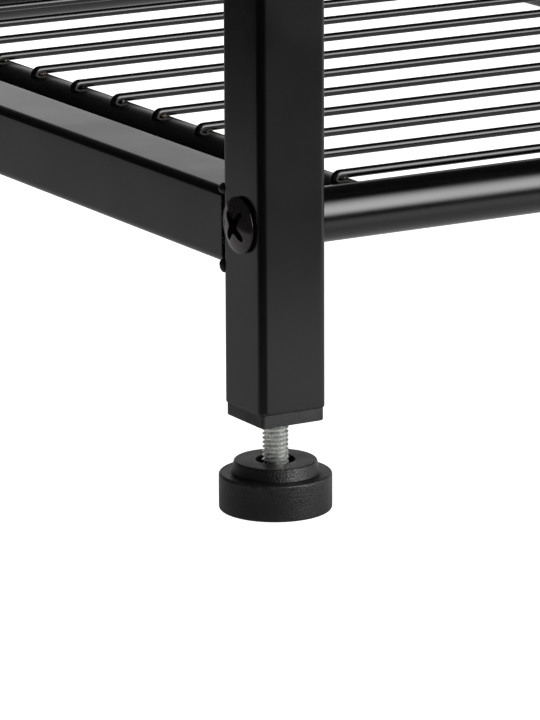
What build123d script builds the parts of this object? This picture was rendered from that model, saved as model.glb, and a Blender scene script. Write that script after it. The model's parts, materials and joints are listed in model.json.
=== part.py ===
from build123d import *
import math
import os

# Tiered shoe rack, millimetres, +Z up.
# +X runs along the length, +Y from the front to the back, the floor is z = 0.
# Two side frames of square tube carry four wire shelves between them.
# Each shelf hangs on four screws, and each leg stands on a levelling foot.

# ---------------------------------------------------------------- overall
leg_spacing_x = 714.6
tier_count = 4
tier_pitch = 190.0
first_tier_z = 65.7
leg_above_top_tier = 41.6

# ---------------------------------------------------------------- square tube of the side frames
tube_side = 17.0
tube_wall = 1.2
tube_corner = 1.85
side_tube_above_rail = 6.6

# ---------------------------------------------------------------- levelling foot
foot_dia = 25.4
foot_base_height = 8.4
foot_edge = 1.0
foot_step_low_dia = 19.9
foot_step_top_dia = 18.75
foot_step_edge = 0.45
foot_height = 11.25
foot_recess_dia = 8.9
foot_recess_depth = 4.0
foot_neck_length = 2.0

# ---------------------------------------------------------------- stud of the foot, M6 x 1
stud_dia = 5.9
stud_exposed = 9.6
stud_inside_leg = 20.0
stud_tip_chamfer = 0.7
stud_collar_dia = 7.8
stud_collar_height = 2.3
stud_clearance = 0.05
collar_clearance = 0.1

# ---------------------------------------------------------------- plug in the bottom of a leg
plug_flange = 3.1
plug_inset = 0.5
plug_corner = 0.9
plug_edge = 0.3
plug_depth = 16.0
plug_hole_dia = 6.6
plug_lead_in = 0.6

# ---------------------------------------------------------------- nut held in the plug
nut_flats = 10.0
nut_height = 5.0
nut_floor = 4.0
nut_chamfer = 0.5

# ---------------------------------------------------------------- cap on the top of a leg
cap_flange = 2.7
cap_depth = 12.0
cap_edge = 0.8
cap_wall = 1.6

# ---------------------------------------------------------------- shelf tubes
rail_dia = 12.4
rail_wall = 1.0
side_bar_dia = 12.0
side_bar_wall = 1.0
side_bar_inset = 21.5

# ---------------------------------------------------------------- shelf wires
wire_dia = 2.0
wire_count = 14
wire_pitch = 20.4
first_wire_behind_rail = 6.8
wire_overhang = 2.9
wire_bend = 1.15
wire_drop = 3.4
weld_sink = 0.15
cross_rod_dia = 4.0
cross_rod_count = 3

# ---------------------------------------------------------------- shelf screws, M6, and their inserts
screw_dia = 6.0
screw_head_dia = 12.8
screw_head_wall = 1.35
screw_head_height = 2.3
screw_head_edge = 0.25
screw_length = 36.0
screw_tip_chamfer = 0.8
screw_hole_clearance = 0.3
recess_span = 8.2
recess_arm = 1.7
recess_depth = 1.9
recess_turn = 45.0
recess_taper = 1.4
insert_length = 22.0
insert_lead_in = 0.5

# ---------------------------------------------------------------- weld beads of the side frames
bead_reach = 2.2
bead_drop = 3.0
bead_overhang = 0.7
bead_lap = 0.7

# ---------------------------------------------------------------- values that follow from the ones above
half_tube = tube_side / 2
leg_x = leg_spacing_x / 2
wire_span = (wire_count - 1) * wire_pitch
leg_y = wire_span / 2 + first_wire_behind_rail
leg_bottom = foot_height + stud_exposed + plug_flange
tier_levels = [first_tier_z + tier_pitch * i for i in range(tier_count)]
leg_top = tier_levels[-1] + leg_above_top_tier
side_tube_rise = side_tube_above_rail - half_tube
side_tube_length = 2 * (leg_y - half_tube)
rail_length = 2 * (leg_x - half_tube)
side_bar_x = leg_x - side_bar_inset
side_bar_crest = side_bar_dia / 2
wire_rise = side_bar_crest + wire_dia / 2 - weld_sink
plug_bottom = leg_bottom - plug_flange
tube_bore = tube_side - 2 * tube_wall
tube_bore_corner = tube_corner - tube_wall
sides = {"left": -1, "right": 1}
ends = {"front": -1, "rear": 1}

os.makedirs("parts", exist_ok=True)


def save(name, *shapes):
    """Write one node, with every separate solid of its shapes, as a STEP file."""
    solids = [solid for shape in shapes for solid in shape.solids()]
    node = solids[0] if len(solids) == 1 else Compound(children=solids)
    node.label = name
    export_step(node, f"parts/{name}.step")


def rounded_bar(size, corner, length):
    """A square bar with rounded corners, standing on z = 0."""
    return extrude(RectangleRounded(size, size, corner), length)


def square_tube(length):
    """The square tube of the side frames, standing on z = 0."""
    return rounded_bar(tube_side, tube_corner, length) - rounded_bar(tube_bore, tube_bore_corner, length)


def solid_rod(dia, length):
    """A round bar along Z, centred on the origin."""
    return Cylinder(dia / 2, length)


def round_tube(dia, wall, length):
    """A round tube along Z, centred on the origin."""
    return solid_rod(dia, length) - solid_rod(dia - 2 * wall, length)


def circles_of(shape, dia):
    """The circular edges of a shape that have this diameter."""
    circles = shape.edges().filter_by(GeomType.CIRCLE)
    return circles.filter_by(lambda edge: math.isclose(2 * edge.radius, dia))


def along_x(shape):
    return Rot(0, 90, 0) * shape


def along_y(shape):
    return Rot(-90, 0, 0) * shape


# ================================================================ legs
# Both walls are drilled at every tier for the screw that holds a rail.
screw_hole_dia = screw_dia + 2 * screw_hole_clearance
leg = Pos(0, 0, leg_bottom) * square_tube(leg_top - leg_bottom)
for level in tier_levels:
    leg -= Pos(0, 0, level) * along_x(solid_rod(screw_hole_dia, 2 * tube_side))
for end, sy in ends.items():
    for side, sx in sides.items():
        save(f"leg_{end}_{side}", Pos(sx * leg_x, sy * leg_y, 0) * leg)

# ================================================================ side tubes
# One at every tier joins the front leg to the rear leg of its side.
side_tube = along_y(Pos(0, 0, -side_tube_length / 2) * square_tube(side_tube_length))
for number, level in enumerate(tier_levels, start=1):
    for side, sx in sides.items():
        place = Pos(sx * leg_x, 0, level + side_tube_rise)
        save(f"side_tube_{side}_{number}", place * side_tube)

# ================================================================ weld beads of the side frames
# A bead lies in the corner over and under every end of a side tube.
# It reaches along the side tube and further along the leg, and laps a little over the edges of both.
tube_block = Box(tube_side, side_tube_length, tube_side)
lap_block = Box(2 * tube_side, 2 * leg_y, tube_side - 2 * bead_lap)
leg_block = Box(tube_side, tube_side, 4 * tube_side)
bead_length = tube_side + 2 * bead_overhang
bead_bar = Pos(-bead_length / 2, 0, 0) * extrude(Plane.YZ * Ellipse(bead_reach, bead_drop), bead_length)
beads = []
for edge in (-1, 1):
    for sy in ends.values():
        bead = Pos(0, sy * side_tube_length / 2, edge * half_tube) * bead_bar
        bead -= tube_block
        bead -= lap_block
        bead -= Pos(0, sy * leg_y, 0) * leg_block
        beads.append(bead)
for side, sx in sides.items():
    run = []
    for level in tier_levels:
        run += [Pos(sx * leg_x, 0, level + side_tube_rise) * bead for bead in beads]
    save(f"weld_beads_{side}", *run)

# ================================================================ shelf tubes
rail_solid = along_x(solid_rod(rail_dia, rail_length))
rail = along_x(round_tube(rail_dia, rail_wall, rail_length))
side_bar_solid = along_y(solid_rod(side_bar_dia, 2 * leg_y))
side_bar = along_y(round_tube(side_bar_dia, side_bar_wall, 2 * leg_y))
for sy in ends.values():
    side_bar -= Pos(0, sy * leg_y, 0) * rail_solid
for number, level in enumerate(tier_levels, start=1):
    for end, sy in ends.items():
        save(f"{end}_rail_{number}", Pos(0, sy * leg_y, level) * rail)
    for side, sx in sides.items():
        save(f"side_bar_{side}_{number}", Pos(sx * side_bar_x, 0, level) * side_bar)

# ================================================================ rods across the middle of the shelf
# They hold the wires up between the side bars, with their tops level with the crests.
cross_rod_rise = side_bar_crest - cross_rod_dia / 2
cross_rod_pitch = 2 * side_bar_x / (cross_rod_count + 1)
cross_rod_solid = along_y(solid_rod(cross_rod_dia, 2 * leg_y))
cross_rods = []
for index in range(cross_rod_count):
    x = (index - (cross_rod_count - 1) / 2) * cross_rod_pitch
    rod = Pos(x, 0, cross_rod_rise) * cross_rod_solid
    for sy in ends.values():
        rod -= Pos(0, sy * leg_y, 0) * rail_solid
    cross_rods.append(rod)
for number, level in enumerate(tier_levels, start=1):
    save(f"cross_rods_{number}", *[Pos(0, 0, level) * rod for rod in cross_rods])

# ================================================================ shelf wires
# Every wire lies along the rack and turns down over the side bars at both ends.
wire_end_x = side_bar_x + wire_overhang - wire_dia / 2
wire_tip_z = wire_rise + wire_dia / 2 - wire_drop
with BuildLine() as wire_path:
    FilletPolyline(
        (-wire_end_x, 0, wire_tip_z),
        (-wire_end_x, 0, wire_rise),
        (wire_end_x, 0, wire_rise),
        (wire_end_x, 0, wire_tip_z),
        radius=wire_bend,
    )
wire = sweep(Plane(origin=(-wire_end_x, 0, wire_tip_z)) * Circle(wire_dia / 2), path=wire_path.line)
for sx in sides.values():
    wire -= Pos(sx * side_bar_x, 0, 0) * side_bar_solid
for index in range(cross_rod_count):
    x = (index - (cross_rod_count - 1) / 2) * cross_rod_pitch
    wire -= Pos(x, 0, cross_rod_rise) * cross_rod_solid
wires = []
for index in range(wire_count):
    y = -wire_span / 2 + index * wire_pitch
    wires.append(Pos(0, y, 0) * wire)
for number, level in enumerate(tier_levels, start=1):
    save(f"wires_{number}", *[Pos(0, 0, level) * bent_wire for bent_wire in wires])

# ================================================================ inserts in the rail ends
# A plug with an M6 thread closes both ends of every rail.
insert = Pos(0, 0, -insert_length / 2) * Cylinder(rail_dia / 2 - rail_wall, insert_length)
insert -= Pos(0, 0, -insert_length / 2) * Cylinder(screw_dia / 2, insert_length)
insert_mouth = insert.edges().filter_by(GeomType.CIRCLE).group_by(Axis.Z)[-1].sort_by(SortBy.RADIUS)[0]
insert = chamfer(insert_mouth, insert_lead_in)
insert_right = Pos(rail_length / 2, 0, 0) * along_x(insert)
insert_left = Rot(0, 0, 180) * insert_right

# ================================================================ shelf screws
# Pan head with a cross recess on the outer face of the leg, shank through the leg into the insert.
crown = screw_head_height - screw_head_wall
head_r = screw_head_dia / 2
dome_r = (head_r**2 + crown**2) / (2 * crown)
halfway = (head_r / 2, screw_head_height - dome_r + math.sqrt(dome_r**2 - (head_r / 2) ** 2))
with BuildSketch(Plane.XZ) as head_half:
    with BuildLine():
        Polyline((0, screw_head_height), (0, 0), (head_r, 0), (head_r, screw_head_wall))
        ThreePointArc((head_r, screw_head_wall), halfway, (0, screw_head_height))
    make_face()
screw = revolve(head_half.sketch, Axis.Z)
screw = fillet(circles_of(screw, screw_head_dia).sort_by(Axis.Z)[-1], screw_head_edge)
quarter_turn = 90
for turn in (recess_turn, recess_turn + quarter_turn):
    arm = Pos(0, 0, screw_head_height - recess_depth / 2) * Box(recess_span, recess_arm, recess_depth)
    arm = chamfer(arm.edges().filter_by(Axis.Y).group_by(Axis.Z)[0], recess_taper)
    screw -= Rot(0, 0, turn) * arm
shank = Pos(0, 0, -screw_length / 2) * Cylinder(screw_dia / 2, screw_length)
screw += chamfer(shank.edges().group_by(Axis.Z)[0], screw_tip_chamfer)
screw_right = Pos(leg_x + half_tube, 0, 0) * along_x(screw)
screw_left = Rot(0, 0, 180) * screw_right

screws = []
inserts = []
for level in tier_levels:
    for sy in ends.values():
        place = Pos(0, sy * leg_y, level)
        screws += [place * screw_left, place * screw_right]
        inserts += [place * insert_left, place * insert_right]
save("shelf_screws", *screws)
save("rail_inserts", *inserts)

# ================================================================ leg plugs and their nuts
# The nut sits in a hexagonal pocket that opens upwards inside the leg.
nut_bottom = leg_bottom + nut_floor
nut_hexagon = RegularPolygon(nut_flats / 2, 6, major_radius=False)
flange = Pos(0, 0, plug_bottom) * rounded_bar(tube_side - 2 * plug_inset, plug_corner, plug_flange)
flange = chamfer(flange.edges().group_by(Axis.Z)[0], plug_edge)
plug = flange + Pos(0, 0, leg_bottom) * rounded_bar(tube_bore, tube_bore_corner, plug_depth)
plug -= Pos(0, 0, plug_bottom) * extrude(Circle(plug_hole_dia / 2), plug_flange + plug_depth)
plug -= Pos(0, 0, nut_bottom) * extrude(nut_hexagon, plug_depth)
lead_in = Cone(plug_hole_dia / 2 + plug_lead_in, plug_hole_dia / 2, plug_lead_in)
plug -= Pos(0, 0, plug_bottom + plug_lead_in / 2) * lead_in

nut_bore = stud_dia / 2 + stud_clearance
nut = Pos(0, 0, nut_bottom) * (extrude(nut_hexagon, nut_height) - extrude(Circle(nut_bore), nut_height))
nut_mouth = Cone(nut_bore + nut_chamfer, nut_bore, nut_chamfer)
nut -= Pos(0, 0, nut_bottom + nut_chamfer / 2) * nut_mouth

# ================================================================ caps on the leg tops
cap = Pos(0, 0, leg_top) * rounded_bar(tube_side - 2 * plug_inset, tube_corner, cap_flange)
cap = fillet(cap.edges().group_by(Axis.Z)[-1], cap_edge)
cap += Pos(0, 0, leg_top - cap_depth) * rounded_bar(tube_bore, tube_bore_corner, cap_depth)
cap -= Pos(0, 0, leg_top - cap_depth) * rounded_bar(tube_bore - 2 * cap_wall, tube_bore_corner, cap_depth)

# ================================================================ levelling feet
# The base is a stepped plastic disc that stays flat on the floor.
# The stud turns in it on a collar, and climbs in the nut of the plug.
recess_floor = foot_height - foot_recess_depth
collar_top = recess_floor - foot_neck_length
with BuildSketch(Plane.XZ) as foot_half:
    with BuildLine():
        Polyline(
            (0, 0),
            (foot_dia / 2, 0),
            (foot_dia / 2, foot_base_height),
            (foot_step_low_dia / 2, foot_base_height),
            (foot_step_top_dia / 2, foot_height),
            (0, foot_height),
            (0, 0),
        )
    make_face()
foot = revolve(foot_half.sketch, Axis.Z)
foot = fillet(circles_of(foot, foot_dia), foot_edge)
foot = fillet(circles_of(foot, foot_step_top_dia), foot_step_edge)
foot -= Pos(0, 0, recess_floor) * extrude(Circle(foot_recess_dia / 2), foot_recess_depth)
foot -= Pos(0, 0, collar_top) * extrude(Circle(stud_dia / 2 + stud_clearance), foot_neck_length)
cavity_height = stud_collar_height + 2 * collar_clearance
cavity_bottom = collar_top - cavity_height
foot -= Pos(0, 0, cavity_bottom) * extrude(Circle(stud_collar_dia / 2 + collar_clearance), cavity_height)

stud_top = plug_bottom + stud_inside_leg
collar_bottom = cavity_bottom + collar_clearance
stud = Pos(0, 0, collar_bottom) * extrude(Circle(stud_dia / 2), stud_top - collar_bottom)
stud = chamfer(stud.edges().group_by(Axis.Z)[-1], stud_tip_chamfer)
stud += Pos(0, 0, collar_bottom) * extrude(Circle(stud_collar_dia / 2), stud_collar_height)

nuts = []
for end, sy in ends.items():
    for side, sx in sides.items():
        place = Pos(sx * leg_x, sy * leg_y, 0)
        save(f"leg_plug_{end}_{side}", place * plug)
        save(f"leg_cap_{end}_{side}", place * cap)
        save(f"foot_base_{end}_{side}", place * foot)
        save(f"foot_stud_{end}_{side}", place * stud)
        nuts.append(place * nut)
save("plug_nuts", *nuts)
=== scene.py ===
import json
import math
import random

import bmesh
import bpy
from mathutils import Matrix, Vector, noise


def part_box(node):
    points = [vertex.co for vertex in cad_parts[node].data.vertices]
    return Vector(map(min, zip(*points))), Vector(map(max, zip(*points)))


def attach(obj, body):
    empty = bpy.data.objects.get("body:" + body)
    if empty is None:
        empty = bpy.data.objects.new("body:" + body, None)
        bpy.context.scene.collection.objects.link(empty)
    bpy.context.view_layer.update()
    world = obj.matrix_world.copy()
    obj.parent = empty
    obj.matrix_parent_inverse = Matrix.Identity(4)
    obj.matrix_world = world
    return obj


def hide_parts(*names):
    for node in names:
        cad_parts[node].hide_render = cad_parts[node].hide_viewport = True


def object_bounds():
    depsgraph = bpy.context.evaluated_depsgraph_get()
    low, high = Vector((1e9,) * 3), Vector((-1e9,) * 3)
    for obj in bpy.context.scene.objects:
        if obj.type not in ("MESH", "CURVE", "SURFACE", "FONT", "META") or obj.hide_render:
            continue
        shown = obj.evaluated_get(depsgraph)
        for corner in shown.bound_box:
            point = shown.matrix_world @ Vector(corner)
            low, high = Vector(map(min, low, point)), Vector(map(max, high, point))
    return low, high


# The looks of the tiered shoe rack, in metres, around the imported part.
# Sizes below are those that the frame's boxes don't give.

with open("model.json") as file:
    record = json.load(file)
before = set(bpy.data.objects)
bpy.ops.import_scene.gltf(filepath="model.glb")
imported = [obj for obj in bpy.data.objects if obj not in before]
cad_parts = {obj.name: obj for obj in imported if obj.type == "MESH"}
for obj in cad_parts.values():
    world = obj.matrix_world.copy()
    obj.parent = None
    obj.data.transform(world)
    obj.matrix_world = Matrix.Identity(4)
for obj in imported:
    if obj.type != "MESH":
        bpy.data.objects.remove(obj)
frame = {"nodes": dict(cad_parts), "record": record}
cad_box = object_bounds()
dice = random.Random(11)
MM = 0.001

# ---------------------------------------------------------------- square tubes
tube_wall = 1.2 * MM
tube_corner = 1.85 * MM
tube_cut_edge = 0.22 * MM
tube_rub_reach = 0.4 * MM
corner_steps = 9
flat_steps = 6
screw_hole_dia = 6.6 * MM

# ---------------------------------------------------------------- round tubes, wires and rods
round_wall = 1.0 * MM
round_segments = 72
rail_cut_edge = 0.15 * MM
bar_segments = 40
wire_dia = 2.0 * MM
wire_count = 14
wire_segments = 20
wire_coat_build = 0.06 * MM
wire_bend = 1.35 * MM
wire_bend_steps = 7
wire_end_straight = 7 * MM
wire_tip_share = 0.86
wire_tip_round = 0.14 * MM
wire_tip_gap = 0.15 * MM
cross_rod_count = 3

# ---------------------------------------------------------------- welds
bead_steps = 72
bead_segments = 24
bead_ripple = 1.9 * MM
bead_ripple_depth = 0.05
bead_body = 0.93
bead_lump = 0.09
bead_lumps_per_metre = 420
bead_taper = 1.7 * MM
upper_bead = (1.5 * MM, 1.4 * MM, 1.4 * MM)
lower_bead = (0.95 * MM, 1.2 * MM, 2.3 * MM)
bar_weld_flare = 0.35 * MM
rod_weld_flare = 0.45 * MM
# Along the flare, from the rail outwards: how far along, how much of its height, how calm its surface.
flare_steps = [(0.0, 1.0, 0.25), (0.18, 0.55, 0.5), (0.45, 0.2, 0.8), (1.0, 0.0, 1.0)]
flare_length = 1.25
flare_lump = 0.35
flare_sink = 0.15 * MM
# A spot weld's half sizes along the wire, across it and upwards.
bar_spot = (1.75 * MM, 1.45 * MM, 0.62 * MM)
rod_spot = (1.1 * MM, 1.15 * MM, 0.45 * MM)
bar_spot_lift = 0.12 * MM
rod_spot_lift = 0.05 * MM
spot_stray = 0.15
spot_steps = 10
spot_segments = 18
spot_lump = 0.22
spot_rust = (0.75, 1.0)
spot_rust_steps = range(3, 7)

# ---------------------------------------------------------------- shelf screws
screw_dia = 6.0 * MM
screw_head_dia = 12.8 * MM
screw_head_wall = 0.95 * MM
screw_head_edge = 0.3 * MM
screw_edge_steps = 7
screw_undercut = 0.55 * MM
screw_undercut_curve = 1.3
screw_wall_steps = 5
screw_length = 36.0 * MM
screw_tip_chamfer = 0.8 * MM
recess_depth = 2.7 * MM
recess_turn = 50.0
# The share of its depth by which the recess is shallower at the tips of its wings.
recess_wing_rise = 0.6
recess_wall_shares = [0.35, 0.7, 0.9]
# Half a wing of the cross, in mm along it and across it, from the inner corner to just before its tip.
recess_half_wing = [
    (1.2, 1.2), (1.32, 1.08), (1.55, 0.99), (1.9, 0.95), (2.4, 0.92),
    (2.9, 0.89), (3.4, 0.84), (3.8, 0.73), (4.1, 0.54), (4.27, 0.28),
]
recess_wing_tip = (4.33, 0.0)
# Round the mouth of the recess: in mm how far outside the outline and how far below the dome, and its mark
# for the shade painted into the recess.
recess_lip = [(-0.05, 0.2, 1.0), (-0.01, 0.07, 0.0), (0.06, 0.0, 0.0)]
# From the outline of the recess to the rim of the dome.
dome_shares = [0.06, 0.14, 0.24, 0.36, 0.48, 0.6, 0.72, 0.82, 0.9, 0.96, 1.0]

# ---------------------------------------------------------------- levelling feet
foot_segments = 112
foot_base_height = 8.4 * MM
foot_edge = 0.6 * MM
foot_edge_steps = 7
foot_brow = 0.55 * MM
foot_hollow_depth = 0.25 * MM
foot_hollow_shares = (0.72, 0.75)
foot_step_top = 9.375 * MM
foot_step_edge = 0.45 * MM
foot_step_edge_steps = 6
# The step's wall, in mm: its radius and its height over the base.
foot_step_wall = [(10.2, 0), (9.97, 0.08), (9.9, 0.3), (9.65, 1.3)]
# The well for the stud, in mm: its radius and its depth below the top.
foot_well = [
    (7.0, 0), (4.62, 0), (4.5, 0.04), (4.45, 0.16), (4.42, 4.0),
    (3.0, 4.0), (3.0, 6.0), (4.0, 6.0), (4.0, 8.5), (0, 8.5),
]
# Where the brow of the foot is rubbed: round this radius, within this width, above this height.
rub_radius = 12.4 * MM
rub_width = 0.35 * MM
rub_height = 7.5 * MM
stud_radius = 2.95 * MM
stud_tip_chamfer = 0.75 * MM
thread_runout = 0.7 * MM
core_lap = 0.1 * MM
shank_inset = 0.02 * MM
thread_pitch = 1.0 * MM
thread_depth = 0.56 * MM
thread_start = 6.3 * MM
thread_segments = 64
collar_dia = 7.8 * MM
collar_height = 2.3 * MM
collar_segments = 48

# ---------------------------------------------------------------- plugs and caps
sleeve_clearance = 0.06 * MM
seat_chamfer = 0.12 * MM
plug_corner = 0.9 * MM
# The flange's lower edge, in mm: how far in, how high, and how much it is rubbed.
plug_rub = [(0.3, 0, 0.3), (0.09, 0.09, 1.0), (0, 0.3, 0.3), (0, 1.4, 0.0)]
plug_hole_dia = 6.6 * MM
plug_lead_in = 0.6 * MM
nut_flats = 10.0 * MM
nut_floor = 4.0 * MM
cap_wall = 1.6 * MM
cap_edge = 0.8 * MM
cap_edge_steps = 6
cap_least_corner = 0.4 * MM
cap_crown = 0.06 * MM
cap_crown_steps = [(0.6, 0.045), (0.3, 0.058), (0.02, 0.06)]


# ================================================================ building meshes
class Form:
    """Corners and faces of a piece while it is built. Every corner carries a mark from 0 to 1."""

    def __init__(self):
        self.points = []
        self.marks = []
        self.faces = []
        self.place = Matrix.Identity(4)

    def ring(self, points, mark=0.0):
        first = len(self.points)
        self.points += [self.place @ Vector(p) for p in points]
        self.marks += [mark] * len(points)
        return list(range(first, len(self.points)))

    def bridge(self, a, b):
        """Quads between two rings of equal count."""
        for i in range(len(a)):
            j = (i + 1) % len(a)
            self.faces.append((a[i], a[j], b[j], b[i]))

    def loft(self, rings, looped=False, marks=None):
        """A skin through rings of equal count: a loop, or a solid with flat ends."""
        marks = marks or [0.0] * len(rings)
        rows = [self.ring(ring, mark) for ring, mark in zip(rings, marks)]
        for a, b in zip(rows, rows[1:]):
            self.bridge(a, b)
        if looped:
            self.bridge(rows[-1], rows[0])
        else:
            self.faces += [tuple(reversed(rows[0])), tuple(rows[-1])]

    def lathe(self, profile, segments, looped=False):
        """Turns a profile of (radius, height) about the Z axis."""
        self.loft([circle(r, z, segments) for r, z in profile], looped)


def circle(radius, z, segments):
    """A ring of points. A radius of nothing makes a point, which is welded shut later."""
    turns = [2 * math.pi * i / segments for i in range(segments)]
    return [(radius * math.cos(t), radius * math.sin(t), z) for t in turns]


def rounded_square(side, corner, z):
    """A square ring with round corners. It starts on the +X flat and goes anticlockwise."""
    flat = side / 2 - corner
    points = []
    for quarter in range(4):
        turn = Matrix.Rotation(quarter * math.pi / 2, 3, "Z")
        for i in range(flat_steps):
            points.append(turn @ Vector((side / 2, flat * (2 * i / flat_steps - 1), 0)))
        for i in range(corner_steps):
            a = math.pi / 2 * i / corner_steps
            points.append(turn @ Vector((flat + corner * math.cos(a), flat + corner * math.sin(a), 0)))
    return [p + Vector((0, 0, z)) for p in points]


def arc(centre, radius, start, stop, steps):
    """Profile points (radius, height) along an arc, angles in degrees from the +radius direction."""
    angles = [math.radians(start + (stop - start) * i / steps) for i in range(steps + 1)]
    return [(centre[0] + radius * math.cos(a), centre[1] + radius * math.sin(a)) for a in angles]


def along_x(place):
    return Matrix.Translation(place) @ Matrix.Rotation(math.pi / 2, 4, "Y")


def along_y(place):
    return Matrix.Translation(place) @ Matrix.Rotation(-math.pi / 2, 4, "X")


def piece(name, form, material, body, nodes, sharp=35, origin=(0, 0, 0)):
    """Makes the object of a form, lets it ride on its body and stand for its CAD nodes."""
    origin = Vector(origin)
    bm = bmesh.new()
    mark = bm.verts.layers.float.new("mark")
    corners = [bm.verts.new(p - origin) for p in form.points]
    for corner, value in zip(corners, form.marks):
        corner[mark] = value
    for face in form.faces:
        bm.faces.new([corners[i] for i in face])
    bmesh.ops.delete(bm, geom=[v for v in bm.verts if not v.link_faces], context="VERTS")
    bmesh.ops.remove_doubles(bm, verts=bm.verts, dist=1e-6)
    bmesh.ops.recalc_face_normals(bm, faces=bm.faces)
    mesh = bpy.data.meshes.new(name)
    bm.to_mesh(mesh)
    bm.free()
    mesh.shade_smooth()
    mesh.set_sharp_from_angle(angle=math.radians(sharp))
    mesh.materials.append(material)
    made = bpy.data.objects.new(name, mesh)
    made.location = origin
    bpy.context.scene.collection.objects.link(made)
    even = made.modifiers.new("even_shading", "WEIGHTED_NORMAL")
    even.mode = "FACE_AREA"
    even.keep_sharp = True
    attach(made, body)
    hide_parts(*nodes)


def middle(node):
    low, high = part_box(node)
    return (low + high) / 2


def underside(node):
    """The middle of the underside of a node's box."""
    low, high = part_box(node)
    return Vector(((low.x + high.x) / 2, (low.y + high.y) / 2, low.z))


# ================================================================ materials
class Shader:
    """A material's nodes, with short ways to add the textures that the finishes share."""

    def __init__(self, name):
        self.material = bpy.data.materials.new(name)
        self.material.use_nodes = True
        self.nodes = self.material.node_tree.nodes
        self.links = self.material.node_tree.links
        self.surface = self.nodes["Principled BSDF"]
        self.where = self.nodes.new("ShaderNodeTexCoord").outputs["Object"]

    def set(self, **values):
        for name, value in values.items():
            self.surface.inputs[name.replace("_", " ")].default_value = value

    def link(self, output, name):
        self.links.new(output, self.surface.inputs[name])

    def noise(self, scale, detail=2.0, stretch=(1, 1, 1)):
        """Noise with its features 1/scale metres apart, stretched along the axes."""
        spread = self.nodes.new("ShaderNodeVectorMath")
        spread.operation = "MULTIPLY"
        spread.inputs[1].default_value = stretch
        self.links.new(self.where, spread.inputs[0])
        cloud = self.nodes.new("ShaderNodeTexNoise")
        cloud.inputs["Scale"].default_value = scale
        cloud.inputs["Detail"].default_value = detail
        self.links.new(spread.outputs[0], cloud.inputs["Vector"])
        return cloud.outputs["Fac"]

    def mark(self):
        found = self.nodes.new("ShaderNodeAttribute")
        found.attribute_name = "mark"
        return found.outputs["Fac"]

    def remap(self, value, low, high, to_low=0.0, to_high=1.0):
        ramp = self.nodes.new("ShaderNodeMapRange")
        ramp.interpolation_type = "SMOOTHSTEP"
        ends = {"From Min": low, "From Max": high, "To Min": to_low, "To Max": to_high}
        for name, end in ends.items():
            ramp.inputs[name].default_value = end
        self.links.new(value, ramp.inputs["Value"])
        return ramp.outputs["Result"]

    def times(self, a, b):
        product = self.nodes.new("ShaderNodeMath")
        product.operation = "MULTIPLY"
        self.links.new(a, product.inputs[0])
        self.links.new(b, product.inputs[1])
        return product.outputs[0]

    def blend(self, share, a, b):
        """Colour a where share is 0 and b where it is 1. Either may be a colour or an output."""
        mix = self.nodes.new("ShaderNodeMix")
        mix.data_type = "RGBA"
        self.links.new(share, mix.inputs["Factor"])
        for name, colour in (("A", a), ("B", b)):
            socket = [s for s in mix.inputs if s.name == name and s.type == "RGBA"][0]
            if isinstance(colour, tuple):
                socket.default_value = (*colour, 1)
            else:
                self.links.new(colour, socket)
        return [s for s in mix.outputs if s.type == "RGBA"][0]

    def bump(self, layers):
        """Stacks bumps, each a (height, depth in metres) pair, and feeds them to the surface."""
        normal = None
        for height, depth in layers:
            step = self.nodes.new("ShaderNodeBump")
            step.inputs["Strength"].default_value = 1.0
            step.inputs["Distance"].default_value = depth
            self.links.new(height, step.inputs["Height"])
            if normal:
                self.links.new(normal, step.inputs["Normal"])
            normal = step.outputs["Normal"]
        self.link(normal, "Normal")


def powder_coat(name, rough, peel):
    """Smooth black powder coat: faint orange peel of depth peel, a fine grain, and rubbed cut edges."""
    coat = Shader(name)
    coat.set(IOR=1.5)
    coat.link(coat.remap(coat.noise(45, 3), 0.3, 0.7, rough * 0.9, rough * 1.12), "Roughness")
    cloud = coat.remap(coat.noise(900, 3), 0.35, 0.75)
    shade = coat.blend(cloud, (0.0009, 0.0009, 0.0011), (0.0017, 0.0017, 0.002))
    rubbed = coat.times(coat.mark(), coat.remap(coat.noise(1400, 4), 0.5, 0.66))
    coat.link(coat.blend(rubbed, shade, (0.03, 0.029, 0.028)), "Base Color")
    coat.bump([(coat.noise(420, 2), peel), (coat.noise(2600, 3), peel * 0.08)])
    return coat.material


def wire_coat():
    """Thin black coat on the wires, with rust in places where it missed the spot welds."""
    coat = Shader("wire_coat")
    coat.set(IOR=1.5)
    spots = coat.times(coat.mark(), coat.remap(coat.noise(1500, 3), 0.5, 0.62))
    cloud = coat.remap(coat.noise(900, 3), 0.35, 0.75)
    shade = coat.blend(cloud, (0.0018, 0.0018, 0.002), (0.0034, 0.0034, 0.0038))
    rust = coat.blend(coat.remap(coat.noise(3000, 4), 0.35, 0.65), (0.045, 0.02, 0.01), (0.26, 0.13, 0.06))
    coat.link(coat.blend(spots, shade, rust), "Base Color")
    coat.link(coat.remap(spots, 0.0, 1.0, 0.2, 0.85), "Roughness")
    coat.bump([(coat.noise(700, 2), 0.000006), (coat.noise(3200, 3), 0.000002)])
    return coat.material


def weld_metal():
    """Weld bead under the coat: rippled, uneven and glossier than the tubes."""
    bead = Shader("weld_metal")
    bead.set(IOR=1.5)
    bead.link(bead.remap(bead.noise(700, 3), 0.3, 0.7, 0.12, 0.3), "Roughness")
    bead.link(bead.blend(bead.noise(1200, 3), (0.0025, 0.0025, 0.0028), (0.006, 0.006, 0.0062)), "Base Color")
    bead.bump([(bead.noise(900, 3), 0.00009), (bead.noise(3500, 3), 0.00002)])
    return bead.material


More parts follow.
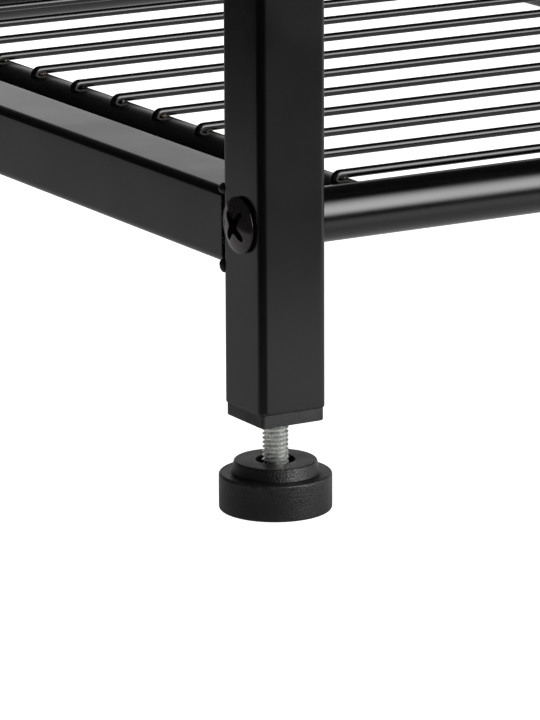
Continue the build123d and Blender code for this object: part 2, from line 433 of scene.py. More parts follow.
def screw_finish():
    """Black oxide on the screws: glossy with a brown cast, with painted shade darkening it inside the recess,
    where it is marked.
    """
    oxide = Shader("screw_finish")
    oxide.set(Metallic=0.9)
    shade = oxide.blend(oxide.noise(600, 3), (0.06, 0.051, 0.053), (0.095, 0.081, 0.084))
    # Painted shade: darker where marked, inside the cross recess.
    oxide.link(oxide.blend(oxide.mark(), shade, (0.02, 0.018, 0.018)), "Base Color")
    oxide.link(oxide.remap(oxide.noise(1600, 4), 0.3, 0.75, 0.07, 0.14), "Roughness")
    oxide.bump([(oxide.noise(1300, 3), 0.000004)])
    return oxide.material


def moulded_plastic(name, tone, rough, grain):
    """Black moulded plastic with a sparked grain, paler where it is marked as rubbed.
    grain is the depth of the fine grain in metres. The coarse grain is three times as deep."""
    plastic = Shader(name)
    plastic.set(IOR=1.48)
    cloud = plastic.remap(plastic.noise(260, 4), 0.3, 0.7)
    shade = plastic.blend(cloud, (tone * 0.75,) * 3, (tone * 1.3,) * 3)
    worn = plastic.times(plastic.mark(), plastic.remap(plastic.noise(1800, 4), 0.46, 0.62))
    plastic.link(plastic.blend(worn, shade, (tone * 3, tone * 3, tone * 2.9)), "Base Color")
    plastic.link(plastic.remap(plastic.noise(120, 4), 0.3, 0.7, rough * 0.88, rough * 1.12), "Roughness")
    plastic.bump([(plastic.noise(2300, 3), grain * 3), (plastic.noise(5200, 2), grain)])
    return plastic.material


def zinc_plate(name, root_shade):
    """Bright zinc with a faint green passivate cast, fine scratches, and painted shade where it is marked, in
    the roots of the thread.
    """
    zinc = Shader(name)
    zinc.set(Metallic=0.6)
    shade = zinc.blend(zinc.remap(zinc.noise(700, 4), 0.3, 0.7), (0.84, 0.87, 0.83), (0.96, 0.98, 0.94))
    # Painted shade: darker where marked, which is in the roots of the thread.
    painted_root_shade = zinc.times(zinc.mark(), zinc.remap(zinc.noise(900, 4), 0.25, 0.7, root_shade * 0.5, root_shade))
    zinc.link(zinc.blend(painted_root_shade, shade, (0.10, 0.10, 0.09)), "Base Color")
    zinc.link(zinc.remap(zinc.noise(1100, 4), 0.3, 0.7, 0.2, 0.36), "Roughness")
    zinc.bump([(zinc.noise(1700, 4, (0.35, 0.35, 3.0)), 0.000035), (zinc.noise(500, 3), 0.00003)])
    return zinc.material


frame_coat = powder_coat("frame_coat", 0.24, 0.000003)
rail_coat = powder_coat("rail_coat", 0.2, 0.000005)
wire_paint = wire_coat()
weld_paint = weld_metal()
screw_oxide = screw_finish()
foot_plastic = moulded_plastic("foot_plastic", 0.005, 0.4, 0.00005)
plug_plastic = moulded_plastic("plug_plastic", 0.012, 0.5, 0.00005)
stud_zinc = zinc_plate("stud_zinc", 0.65)
hidden_zinc = zinc_plate("hidden_zinc", 0.4)


# ================================================================ side frames
def square_tube(form, side, length, hole_levels=()):
    """A square tube standing on z = 0, drilled through both X walls at the given levels."""
    half_flat = side / 2 - tube_corner
    steps = [2 * i / flat_steps - 1 for i in range(flat_steps + 1)]
    ends = [(0, tube_cut_edge, 1.0), (0.3 * tube_cut_edge, 0.3 * tube_cut_edge, 1.0), (tube_cut_edge, 0, 1.0)]
    ends += [(tube_cut_edge + tube_rub_reach, 0, 0.0)]
    levels = list(ends)
    for level in sorted(hole_levels):
        levels += [(level + half_flat * step, 0, 0.0) for step in steps]
    levels += [(length - z, inset, mark) for z, inset, mark in reversed(ends)]
    bore = side - 2 * tube_wall
    outer = [form.ring(rounded_square(side - 2 * d, tube_corner - d, z), m) for z, d, m in levels]
    inner = [form.ring(rounded_square(bore, tube_corner - tube_wall, z), 0.0) for z, _, _ in levels]
    patch_starts = [len(ends) + i * (flat_steps + 1) for i in range(len(hole_levels))]
    patch_rows = {s + i for s in patch_starts for i in range(flat_steps)}
    side_columns = {0: +1, 2 * (flat_steps + corner_steps): -1}
    drilled = {first + i for first in side_columns for i in range(flat_steps)}
    count = len(outer[0])
    for row in range(len(levels) - 1):
        for i in range(count):
            if row in patch_rows and i in drilled:
                continue
            j = (i + 1) % count
            for wall in (outer, inner):
                form.faces.append((wall[row][i], wall[row][j], wall[row + 1][j], wall[row + 1][i]))
    form.bridge(outer[0], inner[0])
    form.bridge(outer[-1], inner[-1])
    for start, level in zip(patch_starts, sorted(hole_levels)):
        for first, facing in side_columns.items():
            drill(form, outer, inner, start, first, facing, side, level)


def drill(form, outer, inner, start, first, facing, side, level):
    """Joins the square gap left in both skins of a wall by the wall of a round hole."""
    n = flat_steps
    radius = screw_hole_dia / 2
    border = [(start, first + i) for i in range(n)]
    border += [(start + i, first + n) for i in range(n)]
    border += [(start + n, first + n - i) for i in range(n)]
    border += [(start + n - i, first) for i in range(n)]
    rims = []
    for wall, face in ((outer, side / 2), (inner, side / 2 - tube_wall)):
        rim = []
        for row, column in border:
            v = wall[row][column]
            p = form.place.inverted() @ form.points[v]
            a = math.atan2(p.z - level, p.y)
            rim.append((facing * face, radius * math.cos(a), level + radius * math.sin(a)))
        hole = form.ring(rim)
        form.bridge([wall[row][column] for row, column in border], hole)
        rims.append(hole)
    form.bridge(*rims)


def build_side_frames(tiers):
    for end in ("front", "rear"):
        for side in ("left", "right"):
            node = f"leg_{end}_{side}"
            low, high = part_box(node)
            form = Form()
            form.place = Matrix.Translation(underside(node))
            square_tube(form, high.x - low.x, high.z - low.z, [z - low.z for z in tiers])
            piece(f"{node}_coated", form, frame_coat, "rack", [node])
    for side in ("left", "right"):
        for number in range(1, len(tiers) + 1):
            node = f"side_tube_{side}_{number}"
            low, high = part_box(node)
            form = Form()
            form.place = along_y(((low.x + high.x) / 2, low.y, (low.z + high.z) / 2))
            square_tube(form, high.x - low.x, high.y - low.y)
            piece(f"{node}_coated", form, frame_coat, "rack", [node])


def weld_bead(form, place, length, reach, up, down):
    """A run of weld along X: an oval bar with ripples, laid a little unevenly, with rounded ends.
    It stands out from its line by reach along Y, and by up and down along Z."""
    form.place = Matrix.Translation(place)
    drift = dice.random() * 50
    rings = []
    for k in range(bead_steps + 1):
        x = length * (k / bead_steps - 0.5)
        to_end = (length / 2 - abs(x)) / bead_taper
        taper = math.sqrt(max(0.0, 1 - max(0.0, 1 - to_end) ** 2))
        ripple = 1 + bead_ripple_depth * math.sin(2 * math.pi * x / bead_ripple + drift)
        ring = []
        for i in range(bead_segments):
            a = 2 * math.pi * i / bead_segments
            seed = Vector((x * bead_lumps_per_metre + drift, math.cos(a) * 0.9, math.sin(a) * 0.9))
            swell = taper * (ripple * bead_body + bead_lump * noise.noise(seed))
            height = up if a < math.pi else down
            ring.append((x, swell * reach * math.cos(a), swell * height * math.sin(a)))
        rings.append(ring)
    form.loft(rings)


def build_weld_beads(tiers):
    for side in ("left", "right"):
        node = f"weld_beads_{side}"
        low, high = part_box(node)
        form = Form()
        for number in range(1, len(tiers) + 1):
            tube_low, tube_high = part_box(f"side_tube_{side}_{number}")
            for y in (tube_low.y, tube_high.y):
                for z, section in ((tube_low.z, lower_bead), (tube_high.z, upper_bead)):
                    weld_bead(form, ((tube_low.x + tube_high.x) / 2, y, z), high.x - low.x, *section)
        piece(f"{node}_coated", form, weld_paint, "rack", [node], sharp=60)


# ================================================================ shelves
def pipe_profile(radius, length, wall, edge):
    """Closed profile of a pipe that stands on z = 0, with its outer cut edges broken."""
    bore = radius - wall
    return [
        (bore, 0), (radius - edge, 0), (radius - 0.3 * edge, 0.3 * edge), (radius, edge),
        (radius, length - edge), (radius - 0.3 * edge, length - 0.3 * edge),
        (radius - edge, length), (bore, length),
    ]


def build_rails(count):
    for number in range(1, count + 1):
        for end in ("front", "rear"):
            node = f"{end}_rail_{number}"
            low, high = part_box(node)
            form = Form()
            form.place = along_x((low.x, (low.y + high.y) / 2, (low.z + high.z) / 2))
            profile = pipe_profile((high.z - low.z) / 2, high.x - low.x, round_wall, rail_cut_edge)
            form.lathe(profile, round_segments, looped=True)
            piece(f"{node}_coated", form, rail_coat, "rack", [node])


def coped_bar(form, x, z, front_y, rear_y, radius, rail_radius, rail_drop, flare):
    """A round bar along Y between two rails, its ends cut to them and flared by the weld.
    rail_drop is how far the rails' axis lies below the bar's."""
    form.place = Matrix.Identity(4)
    drift = dice.random() * 40
    rings = []
    for y_rail, inward in ((front_y, 1), (rear_y, -1)):
        half = []
        for share, swell, calm in flare_steps:
            ring = []
            for i in range(bar_segments):
                a = 2 * math.pi * i / bar_segments
                seed = Vector((math.cos(a) * 1.7, math.sin(a) * 1.7, drift + y_rail * 90))
                r = radius + swell * flare * (1 + flare_lump * (1 - calm) * noise.noise(seed))
                rise = r * math.sin(a) + rail_drop
                rise = min(abs(rise), 0.995 * rail_radius)  # where the bar is wider than the rail, its edge
                depth = math.sqrt(rail_radius**2 - rise**2) - flare_sink + share * flare * flare_length
                ring.append((x + r * math.cos(a), y_rail + inward * depth, z + r * math.sin(a)))
            half.append(ring)
        rings += half if inward > 0 else list(reversed(half))
    form.loft(rings)


def build_side_bars(count):
    for number in range(1, count + 1):
        front, rear = middle(f"front_rail_{number}"), middle(f"rear_rail_{number}")
        rail_low, rail_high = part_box(f"front_rail_{number}")
        rail_radius = (rail_high.z - rail_low.z) / 2
        for side in ("left", "right"):
            node = f"side_bar_{side}_{number}"
            low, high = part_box(node)
            form = Form()
            x, radius = (low.x + high.x) / 2, (high.x - low.x) / 2
            coped_bar(form, x, front.z, front.y, rear.y, radius, rail_radius, 0.0, bar_weld_flare)
            piece(f"{node}_coated", form, rail_coat, "rack", [node], sharp=50)


def build_cross_rods(count):
    for number in range(1, count + 1):
        node = f"cross_rods_{number}"
        low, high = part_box(node)
        front, rear = middle(f"front_rail_{number}"), middle(f"rear_rail_{number}")
        rail_low, rail_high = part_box(f"front_rail_{number}")
        rail_radius = (rail_high.z - rail_low.z) / 2
        radius = (high.z - low.z) / 2
        rise = (low.z + high.z) / 2 - front.z
        first = low.x + radius
        step = (high.x - low.x - 2 * radius) / (cross_rod_count - 1)
        form = Form()
        for index in range(cross_rod_count):
            x, z = first + index * step, front.z + rise
            coped_bar(form, x, z, front.y, rear.y, radius, rail_radius, rise, rod_weld_flare)
        piece(f"{node}_coated", form, wire_paint, "rack", [node], sharp=50)


def bent_wire(form, y, low_x, high_x, crest_z, tip_z):
    """A wire along X at height crest_z, with both ends turned down to tip_z."""
    form.place = Matrix.Identity(4)
    radius = wire_dia / 2 + wire_coat_build
    left, right = low_x + wire_dia / 2, high_x - wire_dia / 2
    line = []
    for end_x, inward in ((left, 1), (right, -1)):
        half = [(Vector((end_x, y, tip_z)), Vector((0, 0, 1)))]
        for i in range(wire_bend_steps + 1):
            a = math.pi / 2 * i / wire_bend_steps
            x = end_x + inward * wire_bend * (1 - math.cos(a))
            z = crest_z - wire_bend * (1 - math.sin(a))
            half.append((Vector((x, y, z)), Vector((inward * math.sin(a), 0, math.cos(a)))))
        half.append((Vector((end_x + inward * wire_end_straight, y, crest_z)), Vector((inward, 0, 0))))
        if inward < 0:
            half = [(p, -d) for p, d in reversed(half)]
        line += half
    rings = []
    for centre, ahead in line:
        across = Vector((0, 1, 0))
        out = ahead.cross(across)
        turns = [2 * math.pi * i / wire_segments for i in range(wire_segments)]
        rings.append([centre + radius * (math.cos(t) * across + math.sin(t) * out) for t in turns])
    below = Vector((0, 0, wire_tip_round))
    tips = [[centre + (p - centre) * wire_tip_share - below for p in ring]
            for centre, ring in ((line[0][0], rings[0]), (line[-1][0], rings[-1]))]
    form.loft([tips[0], *rings, tips[1]])


def spot_weld(form, place, size, rusty):
    """The lump of melted metal under a wire, where it is welded to the bar or rod that it crosses."""
    along, wide, tall = size
    form.place = Matrix.Translation(place)
    drift = dice.random() * 60
    rings, marks = [], []
    for k in range(spot_steps + 1):
        lift = math.pi * k / spot_steps
        ring = []
        for i in range(spot_segments):
            a = 2 * math.pi * i / spot_segments
            direction = Vector((math.sin(lift) * math.cos(a), math.sin(lift) * math.sin(a), -math.cos(lift)))
            swell = 1 + spot_lump * noise.noise(direction * 1.6 + Vector((drift, 0, 0)))
            ring.append((direction.x * along * swell, direction.y * wide * swell, direction.z * tall * swell))
        rings.append(ring)
        marks.append(rusty if k in spot_rust_steps else 0.0)
    form.loft(rings, marks=marks)


def build_wires(count):
    for number in range(1, count + 1):
        node = f"wires_{number}"
        low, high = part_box(node)
        rods_low, rods_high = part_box(f"cross_rods_{number}")
        bars = [middle(f"side_bar_{side}_{number}") for side in ("left", "right")]
        bar_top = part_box(f"side_bar_left_{number}")[1].z
        crest_z = high.z - wire_dia / 2
        pitch = (high.y - low.y - wire_dia) / (wire_count - 1)
        rod_x = rods_high.x - (rods_high.z - rods_low.z) / 2
        form = Form()
        for index in range(wire_count):
            y = low.y + wire_dia / 2 + index * pitch
            bent_wire(form, y, low.x, high.x, crest_z, low.z + wire_tip_gap)
            for bar in bars:
                place = (bar.x, y + dice.uniform(-spot_stray, spot_stray) * MM, bar_top + bar_spot_lift)
                spot_weld(form, place, bar_spot, dice.uniform(*spot_rust))
            for x in (-rod_x, 0, rod_x):
                spot_weld(form, (x, y, rods_high.z + rod_spot_lift), rod_spot, 0.0)
        piece(f"{node}_coated", form, wire_paint, "rack", [node], sharp=50)


# ================================================================ shelf screws
def cross_outline():
    """The mouth of a cross recess, a closed outline of four tapering wings with round ends."""
    wing = [(u, -v) for u, v in recess_half_wing] + [recess_wing_tip, *reversed(recess_half_wing[1:])]
    points = []
    for quarter in range(4):
        turn = Matrix.Rotation(math.radians(recess_turn + 90 * quarter), 2)
        points += [turn @ (Vector(p) * MM) for p in wing]
    return points


def pan_screw(form, place, head_height):
    """A pan head screw: the head stands on z = 0 with a cross recess, the shank points down.
    The head is a shallow dome with a rounded edge, on a wall that draws in towards the tube."""
    form.place = place
    head_r = screw_head_dia / 2
    outline = cross_outline()
    crown = head_height - screw_head_wall
    dome = (head_r**2 + crown**2) / (2 * crown)
    dome_centre = head_height - dome
    edge = screw_head_edge
    edge_centre = dome_centre + math.sqrt((dome - edge) ** 2 - (head_r - edge) ** 2)
    edge_start = math.asin((head_r - edge) / (dome - edge))
    dome_rim = dome * math.sin(edge_start)

    def on_dome(points, sink=0.0):
        return [(p.x, p.y, dome_centre + math.sqrt(dome**2 - p.length_squared) - sink) for p in points]

    reach = max(p.length for p in outline)
    floor_z = head_height - recess_depth
    rises = [recess_depth * recess_wing_rise * p.length / reach for p in outline]
    # The recess is marked 1, for the shade that the screw finish paints into it.
    rings, marks = [[(0, 0, floor_z)] * len(outline)], [1.0]
    for share in recess_wall_shares:
        rings.append([(p.x * share, p.y * share, floor_z + rise * share) for p, rise in zip(outline, rises)])
        marks.append(1.0)
    for spread, sink, mark in recess_lip:
        rings.append(on_dome([p + p.normalized() * spread * MM for p in outline], sink * MM))
        marks.append(mark)
    for t in dome_shares:
        rings.append(on_dome([p.lerp(p.normalized() * dome_rim, t) for p in outline]))
    rim = [p.normalized() for p in outline]
    sides = []
    for k in range(1, screw_edge_steps + 1):
        a = edge_start + (math.pi / 2 - edge_start) * k / screw_edge_steps
        sides.append((head_r - edge + edge * math.sin(a), edge_centre + edge * math.cos(a)))
    for k in range(1, screw_wall_steps + 1):
        t = k / screw_wall_steps
        sides.append((head_r - screw_undercut * t**screw_undercut_curve, edge_centre * (1 - t)))
    sides += [(screw_dia / 2, 0), (screw_dia / 2, screw_tip_chamfer - screw_length)]
    sides += [(screw_dia / 2 - screw_tip_chamfer, -screw_length), (0, -screw_length)]
    rings += [[(p.x * r, p.y * r, z) for p in rim] for r, z in sides]
    form.loft(rings, marks=marks + [0.0] * (len(rings) - len(marks)))


def build_screws(tiers):
    head_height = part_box("leg_front_left")[0].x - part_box("shelf_screws")[0].x
    form = Form()
    for end in ("front", "rear"):
        for side, turn in (("left", -90), ("right", 90)):
            leg_low, leg_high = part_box(f"leg_{end}_{side}")
            face_x = leg_low.x if side == "left" else leg_high.x
            for z in tiers:
                spin = 0 if (end, side) == ("front", "left") else dice.uniform(0, 90)
                place = Matrix.Translation((face_x, (leg_low.y + leg_high.y) / 2, z))
                place = place @ Matrix.Rotation(math.radians(turn), 4, "Y")
                place = place @ Matrix.Rotation(math.radians(spin), 4, "Z")
                pan_screw(form, place, head_height)
    piece("shelf_screws_oxide", form, screw_oxide, "rack", ["shelf_screws"], sharp=40)


# ================================================================ levelling feet
def foot_profile(low, high):
    """Profile of the foot's base from the axis at the bottom round to the axis in the stud's seat."""
    radius = (high.x - low.x) / 2
    height = high.z - low.z
    base = foot_base_height
    inside, outside = foot_hollow_shares
    profile = [(0, foot_hollow_depth), (inside * radius, foot_hollow_depth), (outside * radius, 0)]
    profile += arc((radius - foot_edge, foot_edge), foot_edge, -90, 0, foot_edge_steps)
    profile += [(radius, 0.5 * base)]
    profile += arc((radius - foot_brow, base - foot_brow), foot_brow, 0, 90, foot_edge_steps)
    profile += [(r * MM, base + rise * MM) for r, rise in foot_step_wall]
    top_edge = (foot_step_top - foot_step_edge, height - foot_step_edge)
    profile += arc(top_edge, foot_step_edge, 8, 90, foot_step_edge_steps)
    profile += [(r * MM, height - drop * MM) for r, drop in foot_well]
    return profile


def threaded_stud(form, radius, bottom, top):
    """A stud from its collar at the bottom to its chamfered tip, with one helical M6 thread."""
    segments, root = thread_segments, radius - thread_depth
    # One turn of the thread: the share of the pitch, and the radius there.
    shape = [(0.0, root), (0.09, root), (0.43, radius), (0.57, radius), (0.91, root)]
    start, stop = thread_start, top - thread_runout
    turns = math.ceil((stop - start) / thread_pitch) + 1
    previous = None
    for turn in range(-1, turns):
        for share, r in shape:
            points = []
            for i in range(segments + 1):
                a = i / segments
                z = min(max(start + thread_pitch * (turn + share + a), start), stop)
                points.append((r * math.cos(2 * math.pi * a), r * math.sin(2 * math.pi * a), z))
            # The roots of the thread are marked 1, where the zinc paints shade.
            row = form.ring(points, 1.0 if r < radius - 0.5 * thread_depth else 0.0)
            if previous:
                for i in range(segments):
                    form.faces.append((previous[i], previous[i + 1], row[i + 1], row[i]))
            previous = row
    collar, collar_top = collar_dia / 2, bottom + collar_height
    form.lathe([(0, bottom), (collar, bottom), (collar, collar_top), (0, collar_top)], collar_segments)
    shank, shank_top = radius - shank_inset, start + core_lap
    form.lathe([(0, bottom), (shank, bottom), (shank, start), (root, shank_top), (0, shank_top)], segments)
    tip, tip_low = radius - stud_tip_chamfer, stop - core_lap
    form.lathe([(0, tip_low), (root, tip_low), (root, stop), (tip, top), (0, top)], segments)


def build_feet(corners):
    for corner in corners:
        base_node, stud_node = f"foot_base_{corner}", f"foot_stud_{corner}"
        foot_body, stud_body = f"{corner}_foot", f"{corner}_stud"
        centre = underside(base_node)
        form = Form()
        form.place = Matrix.Translation(centre)
        form.lathe(foot_profile(*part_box(base_node)), foot_segments)
        for i, p in enumerate(form.points):
            local = p - centre
            rim = abs(math.hypot(local.x, local.y) - rub_radius) < rub_width
            form.marks[i] = 1.0 if rim and local.z > rub_height else 0.0
        piece(f"{base_node}_moulded", form, foot_plastic, foot_body, [base_node], 50, centre)
        stud_low, stud_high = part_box(stud_node)
        form = Form()
        form.place = Matrix.Translation(centre)
        threaded_stud(form, stud_radius, stud_low.z, stud_high.z)
        piece(f"{stud_node}_zinc", form, stud_zinc, stud_body, [stud_node], 30, centre)


# ================================================================ plugs and caps
def hexagon(flats, z, around):
    """A hexagonal ring with a point in the direction of every point of another ring."""
    ring = []
    for p in around:
        a = math.atan2(p[1], p[0])
        sector = (a + math.pi / 6) % (math.pi / 3) - math.pi / 6
        r = flats / 2 / math.cos(sector)
        ring.append((r * math.cos(a), r * math.sin(a), z))
    return ring


def circle_like(radius, z, around):
    """A circular ring with a point in the direction of every point of another ring."""
    return [(*(radius * Vector(p[:2]).normalized()), z) for p in around]


def build_plugs(corners):
    for corner in corners:
        node = f"leg_plug_{corner}"
        low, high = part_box(node)
        leg_low, leg_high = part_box(f"leg_{corner}")
        flange, depth = leg_low.z - low.z, high.z - low.z
        side = high.x - low.x
        sleeve = leg_high.x - leg_low.x - 2 * tube_wall - sleeve_clearance
        small = tube_corner - tube_wall
        pocket = flange + nut_floor
        like = rounded_square(side, plug_corner, 0)
        hole = plug_hole_dia / 2
        form = Form()
        form.place = Matrix.Translation(underside(node))
        rings = [circle_like(hole, pocket, like), circle_like(hole, plug_lead_in, like)]
        rings += [circle_like(hole + plug_lead_in, 0, like)]
        rings += [rounded_square(side - 2 * inset * MM, plug_corner, z * MM) for inset, z, _ in plug_rub]
        rings += [rounded_square(side, plug_corner, flange - seat_chamfer)]
        rings += [rounded_square(side - 2 * seat_chamfer, plug_corner, flange)]
        rings += [rounded_square(sleeve, small, flange), rounded_square(sleeve, small, depth)]
        rings += [hexagon(nut_flats, depth, like), hexagon(nut_flats, pocket, like)]
        marks = [0.0, 0.0, 0.0, *(mark for _, _, mark in plug_rub), 0.6, 0.0, 0.0, 0.0, 0.0, 0.0]
        form.loft(rings, looped=True, marks=marks)
        piece(f"{node}_moulded", form, plug_plastic, "rack", [node], 40)


def build_caps(corners):
    for corner in corners:
        node = f"leg_cap_{corner}"
        low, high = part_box(node)
        leg_low, leg_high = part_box(f"leg_{corner}")
        depth = leg_high.z - low.z
        side = high.x - low.x
        sleeve = leg_high.x - leg_low.x - 2 * tube_wall - sleeve_clearance
        inner = sleeve - 2 * cap_wall
        shoulder = high.z - low.z - cap_crown
        small = tube_corner - tube_wall
        form = Form()
        form.place = Matrix.Translation(underside(node))
        rings = [rounded_square(0.02 * MM, 0.005 * MM, depth)]
        rings += [rounded_square(inner, small, depth), rounded_square(inner, small, 0)]
        rings += [rounded_square(sleeve, small, 0), rounded_square(sleeve, small, depth)]
        rings += [rounded_square(side - 2 * seat_chamfer, tube_corner, depth)]
        rings += [rounded_square(side, tube_corner, depth + seat_chamfer)]
        for i in range(cap_edge_steps + 1):
            a = math.pi / 2 * i / cap_edge_steps
            inset = cap_edge * (1 - math.cos(a))
            z = shoulder - cap_edge * (1 - math.sin(a))
            rings.append(rounded_square(side - 2 * inset, max(tube_corner - inset, cap_least_corner), z))
        for share, lift in cap_crown_steps:
            rings.append(rounded_square(side * share, tube_corner * share, shoulder + lift * MM))
        form.loft(rings)
        piece(f"{node}_moulded", form, plug_plastic, "rack", [node], 40)


shelf_count = 4
tier_levels = [middle(f"front_rail_{number}").z for number in range(1, shelf_count + 1)]
corner_names = [f"{end}_{side}" for end in ("front", "rear") for side in ("left", "right")]
build_side_frames(tier_levels)
build_weld_beads(tier_levels)
build_rails(shelf_count)
build_side_bars(shelf_count)
build_cross_rods(shelf_count)
build_wires(shelf_count)
build_screws(tier_levels)
build_feet(corner_names)
build_plugs(corner_names)
build_caps(corner_names)

# The nuts and the rail inserts stay as the frame has them, out of sight inside the plugs and rails.
for hidden in ("plug_nuts", "rail_inserts"):
    frame["nodes"][hidden].material_slots[0].material = hidden_zinc


# ================================================================ camera
foot = middle("foot_base_front_left")
camera_aim = Vector((foot.x - 1.17 * MM, foot.y + 0.22 * MM, 34.1 * MM))
camera_distance = 1.1024
camera_yaw = math.radians(30.47)
camera_pitch = math.radians(14.328)
camera_roll = math.radians(0.238)
camera_lens = 248.475
camera_sensor = 36

outward = math.cos(camera_pitch)
ahead = Vector((math.sin(camera_yaw) * outward, math.cos(camera_yaw) * outward, -math.sin(camera_pitch)))
level_right = Vector((math.cos(camera_yaw), -math.sin(camera_yaw), 0))
level_down = ahead.cross(level_right)
right = math.cos(camera_roll) * level_right + math.sin(camera_roll) * level_down
down = math.cos(camera_roll) * level_down - math.sin(camera_roll) * level_right
lens = bpy.data.cameras.new("camera")
lens.sensor_width = camera_sensor
lens.lens = camera_lens
lens.clip_start = 0.05
camera = bpy.data.objects.new("camera", lens)
bpy.context.scene.collection.objects.link(camera)
turned = Matrix((right, -down, -ahead)).transposed()
camera.matrix_world = Matrix.Translation(camera_aim - camera_distance * ahead) @ turned.to_4x4()
bpy.context.scene.camera = camera


# ================================================================ studio
def stage_mesh(name, verts, faces, material, **sees):
    """A mesh of the stage, seen only by the kinds of ray that are named."""
    mesh = bpy.data.meshes.new(name)
    mesh.from_pydata(verts, [], faces)
    mesh.materials.append(material)
    made = bpy.data.objects.new(name, mesh)
    bpy.context.scene.collection.objects.link(made)
    for ray in ("camera", "diffuse", "glossy", "transmission", "shadow"):
        setattr(made, f"visible_{ray}", sees.get(ray, False))
    return made


def glow(name, strength):
    """A plain white emission."""
    material = bpy.data.materials.new(name)
    material.use_nodes = True
    nodes, links = material.node_tree.nodes, material.node_tree.links
    nodes.clear()
    light = nodes.new("ShaderNodeEmission")
    light.inputs["Strength"].default_value = strength
    links.new(light.outputs[0], nodes.new("ShaderNodeOutputMaterial").inputs["Surface"])
    return material


def graded_glow(name, terms, base=0.0):
    """Emission that varies over a card: base plus the terms. A term is (strength, [(axis, from, to), ...]),
    its strength times a smooth step for every axis, which is 0 at from and 1 at to."""
    material = glow(name, 1.0)
    nodes, links = material.node_tree.nodes, material.node_tree.links
    light = [n for n in nodes if n.type == "EMISSION"][0]
    split = nodes.new("ShaderNodeSeparateXYZ")
    links.new(nodes.new("ShaderNodeTexCoord").outputs["Object"], split.inputs[0])
    total = None
    for strength, steps in terms:
        part = None
        for axis, start, stop in steps:
            ramp = nodes.new("ShaderNodeMapRange")
            ramp.interpolation_type = "SMOOTHSTEP"
            (low, at_low), (high, at_high) = sorted([(start, 0.0), (stop, 1.0)])
            ends = {"From Min": low, "From Max": high, "To Min": at_low, "To Max": at_high}
            for socket, end in ends.items():
                ramp.inputs[socket].default_value = end
            links.new(split.outputs[axis], ramp.inputs["Value"])
            if part is None:
                part = ramp.outputs["Result"]
            else:
                product = nodes.new("ShaderNodeMath")
                product.operation = "MULTIPLY"
                links.new(part, product.inputs[0])
                links.new(ramp.outputs["Result"], product.inputs[1])
                part = product.outputs[0]
        scaled = nodes.new("ShaderNodeMath")
        scaled.operation = "MULTIPLY_ADD"
        scaled.inputs[1].default_value = strength
        scaled.inputs[2].default_value = base if total is None else 0.0
        links.new(part, scaled.inputs[0])
        if total is not None:
            links.new(total, scaled.inputs[2])
        total = scaled.outputs[0]
    links.new(total, light.inputs["Strength"])
    return material


def light_panel(name, place, target, width, height, power):
    """A soft area light that lights the surfaces but isn't mirrored in them."""
    panel = bpy.data.lights.new(name, "AREA")
    panel.shape = "RECTANGLE"
    panel.size = width
    panel.size_y = height
    panel.energy = power
    made = bpy.data.objects.new(name, panel)
    made.location = place
    made.rotation_euler = (Vector(target) - Vector(place)).to_track_quat("-Z", "Y").to_euler()
    made.visible_glossy = False
    made.visible_camera = False
    bpy.context.scene.collection.objects.link(made)


def card(width, height, z=0):
    w, h = width / 2, height / 2
    return [(-w, -h, z), (w, -h, z), (w, h, z), (-w, h, z)], [(0, 1, 2, 3)]


def turned_to(place, target):
    place = Vector(place)
    turn = (Vector(target) - place).to_track_quat("Z", "Y").to_matrix().to_4x4()
    return Matrix.Translation(place) @ turn


# The floor that is seen, just low enough for the feet when they are screwed right out.
# The rack's gloss doesn't mirror it, but the cards that are made after it.
joints = frame["record"]["behaviour"]["joints"]
foot_travel = min(joint["range_m"][0] for joint in joints if "range_m" in joint)
floor_level = foot_travel - 0.1 * MM
ground = bpy.data.materials.new("ground")
ground.use_nodes = True
pale = {"Base Color": (0.9, 0.9, 0.9, 1), "Roughness": 1.0, "Specular IOR Level": 0.0,
        "Emission Color": (1, 1, 1, 1), "Emission Strength": 1.0}
for socket, value in pale.items():
    ground.node_tree.nodes["Principled BSDF"].inputs[socket].default_value = value
verts, faces = card(60, 60, floor_level)
stage_mesh("floor", verts, faces, ground, camera=True, diffuse=True, transmission=True, shadow=True)

# A white dome round the rack, seen by the camera alone, which starts a little below the floor.
surround_radius = 22.0
rings = []
for degrees in range(0, 91, 10):
    rise = math.radians(degrees)
    rings.append(circle(surround_radius * math.cos(rise), surround_radius * math.sin(rise) - 0.02, 48))
surround = Form()
surround.loft(rings)
white = glow("surround_white", 1.0)
stage_mesh("surround", [tuple(p) for p in surround.points], surround.faces, white, camera=True)

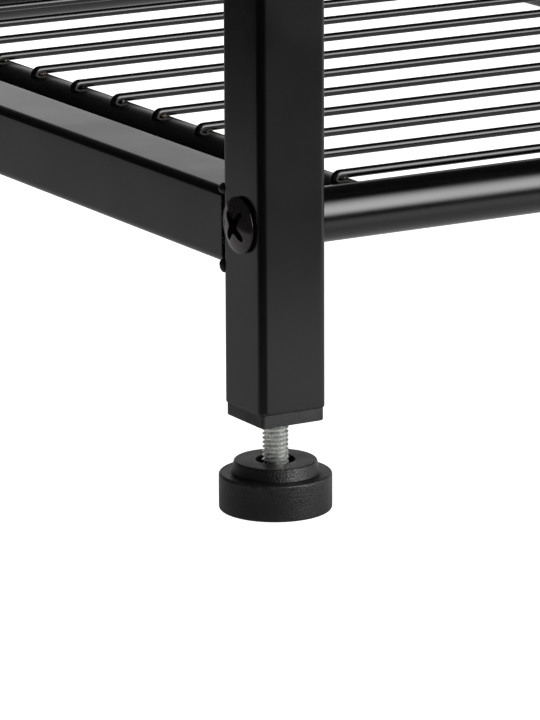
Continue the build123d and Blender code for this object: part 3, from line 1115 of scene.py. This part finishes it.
# What the gloss mirrors: a lit floor, a low bright horizon, and one soft box at the front on the right.
rack_low, rack_high = cad_box
under_rack = [("X", rack_low.x, rack_low.x + 0.06), ("X", rack_high.x + 0.1, rack_high.x - 0.02)]
floor_glow = graded_glow("floor_glow", [
    (0.06, [*under_rack, ("Y", rack_low.y - 0.9, rack_low.y - 0.6)]),
    (0.97, [*under_rack, ("Y", rack_low.y - 0.285, rack_low.y - 0.09)]),
    # Painted shadow of the rack: darker under the rack and close round it, on the floor that the gloss
    # mirrors.
    (-0.45, [*under_rack, ("Y", rack_low.y - 0.09, rack_low.y - 0.02),
             ("Y", rack_high.y + 0.09, rack_high.y + 0.02)]),
    (0.4, [("X", rack_low.x + 0.06, rack_low.x), ("X", rack_low.x - 0.235, rack_low.x - 0.165),
           ("Y", rack_low.y, rack_low.y + 0.1), ("Y", rack_high.y + 0.8, rack_high.y + 0.5)]),
    (0.3, [("X", rack_high.x - 0.06, rack_high.x)]),
    (0.6, [("X", rack_high.x - 0.06, rack_high.x + 0.2), ("Y", rack_high.y, rack_high.y + 0.5)]),
    (0.25, [("X", rack_low.x - 0.24, rack_low.x - 0.03), ("X", rack_low.x + 0.06, rack_low.x),
            ("Y", rack_low.y + 0.1, rack_low.y), ("Y", rack_low.y - 0.24, rack_low.y)]),
], base=0.01)
verts, faces = card(8, 8)
stage_mesh("floor_card", verts, faces, floor_glow, glossy=True)

horizon_radius, horizon_height, horizon_rows = 3.0, 1.6, 8
horizon = Form()
levels = [horizon_height * k / horizon_rows - 0.005 for k in range(horizon_rows + 1)]
horizon.loft([circle(horizon_radius, z, 64) for z in levels])
horizon.faces = horizon.faces[:-2]  # open at the top and the bottom
horizon_glow = graded_glow("horizon_glow", [
    (0.6, [("Z", 1.5, 0.95), ("X", -1.2, 0.6)]),
    (0.55, [("Z", 0.8, 0.3), ("X", -0.6, 0.8)]),
], base=0.015)
stage_mesh("horizon_card", [tuple(p) for p in horizon.points], horizon.faces, horizon_glow, glossy=True)

verts = [(-0.55, -0.64, 0), (0.55, -0.64, 0), (0.55, 1.05, 0), (-0.55, 1.05, 0)]
box_glow = graded_glow("box_glow", [
    (9.5, [("Y", -0.63, -0.1), ("Y", 0.92, 0.03), ("X", -0.52, -0.26), ("X", 0.53, 0.34)]),
])
soft_box = stage_mesh("soft_box", verts, [(0, 1, 2, 3)], box_glow, glossy=True)
soft_box.matrix_world = turned_to(foot + Vector((0.62, -1.0, 0.55)), foot)

world = bpy.data.worlds.new("studio")
bpy.context.scene.world = world
world.use_nodes = True
world.node_tree.nodes["Background"].inputs["Color"].default_value = (1, 1, 1, 1)
world.node_tree.nodes["Background"].inputs["Strength"].default_value = 0.02

light_panel("overhead", (0.2, -0.3, 3.0), (0, 0, 0), width=4.0, height=4.0, power=60)
light_panel("front_fill", (0.8, -2.4, 1.5), (0, 0, 0.2), width=2.0, height=1.6, power=18)

bpy.context.scene.view_settings.view_transform = "Standard"
bpy.context.scene.view_settings.look = "None"
